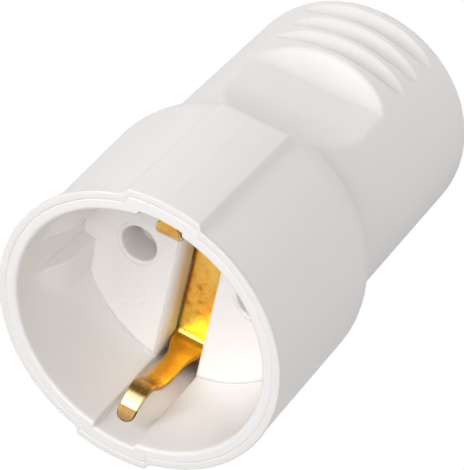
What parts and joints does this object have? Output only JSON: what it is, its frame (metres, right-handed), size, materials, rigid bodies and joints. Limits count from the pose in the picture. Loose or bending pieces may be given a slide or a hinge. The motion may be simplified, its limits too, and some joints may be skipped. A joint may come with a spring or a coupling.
{
  "type": "extension socket",
  "caption": "Round earthed extension socket with a deep recess, sprung earth tongues, and a handle with thumb scoops and grip grooves.",
  "frame": {"origin": "centre of the flat rear face of the handle", "axes": "+Z along the axis from the cable hole to the mouth; the contact holes lie along X; the earth tongues lie along Y"},
  "size_m": [0.0444, 0.0464, 0.0717],
  "materials": {
    "shell": "moulded, glossy",
    "socket_insert": "moulded, glossy",
    "earth_strip": "bright, rolled sheet",
    "contact_carrier": "moulded thermoset",
    "cord_clamp_saddle": "moulded",
    "pole_contact_left": "turned",
    "contact_spring_left": "spring steel",
    "terminal_screw_left": "zinc plated",
    "carrier_screw_left": "zinc plated",
    "cord_clamp_screw_left": "zinc plated",
    "pole_contact_right": "turned",
    "contact_spring_right": "spring steel",
    "terminal_screw_right": "zinc plated",
    "carrier_screw_right": "zinc plated",
    "cord_clamp_screw_right": "zinc plated",
    "earth_clamp_plate": "stamped",
    "earth_terminal_screw": "zinc plated"
  },
  "bodies": {
    "root": {"shell": "shell", "socket_insert": "socket_insert", "earth_strip": "earth_strip", "contact_carrier": "contact_carrier", "cord_clamp_saddle": "cord_clamp_saddle", "pole_contact_left": "pole_contact_left", "contact_spring_left": "contact_spring_left", "terminal_screw_left": "terminal_screw_left", "carrier_screw_left": "carrier_screw_left", "cord_clamp_screw_left": "cord_clamp_screw_left", "pole_contact_right": "pole_contact_right", "contact_spring_right": "contact_spring_right", "terminal_screw_right": "terminal_screw_right", "carrier_screw_right": "carrier_screw_right", "cord_clamp_screw_right": "cord_clamp_screw_right", "earth_clamp_plate": "earth_clamp_plate", "earth_terminal_screw": "earth_terminal_screw"}
  },
  "joints": []
}
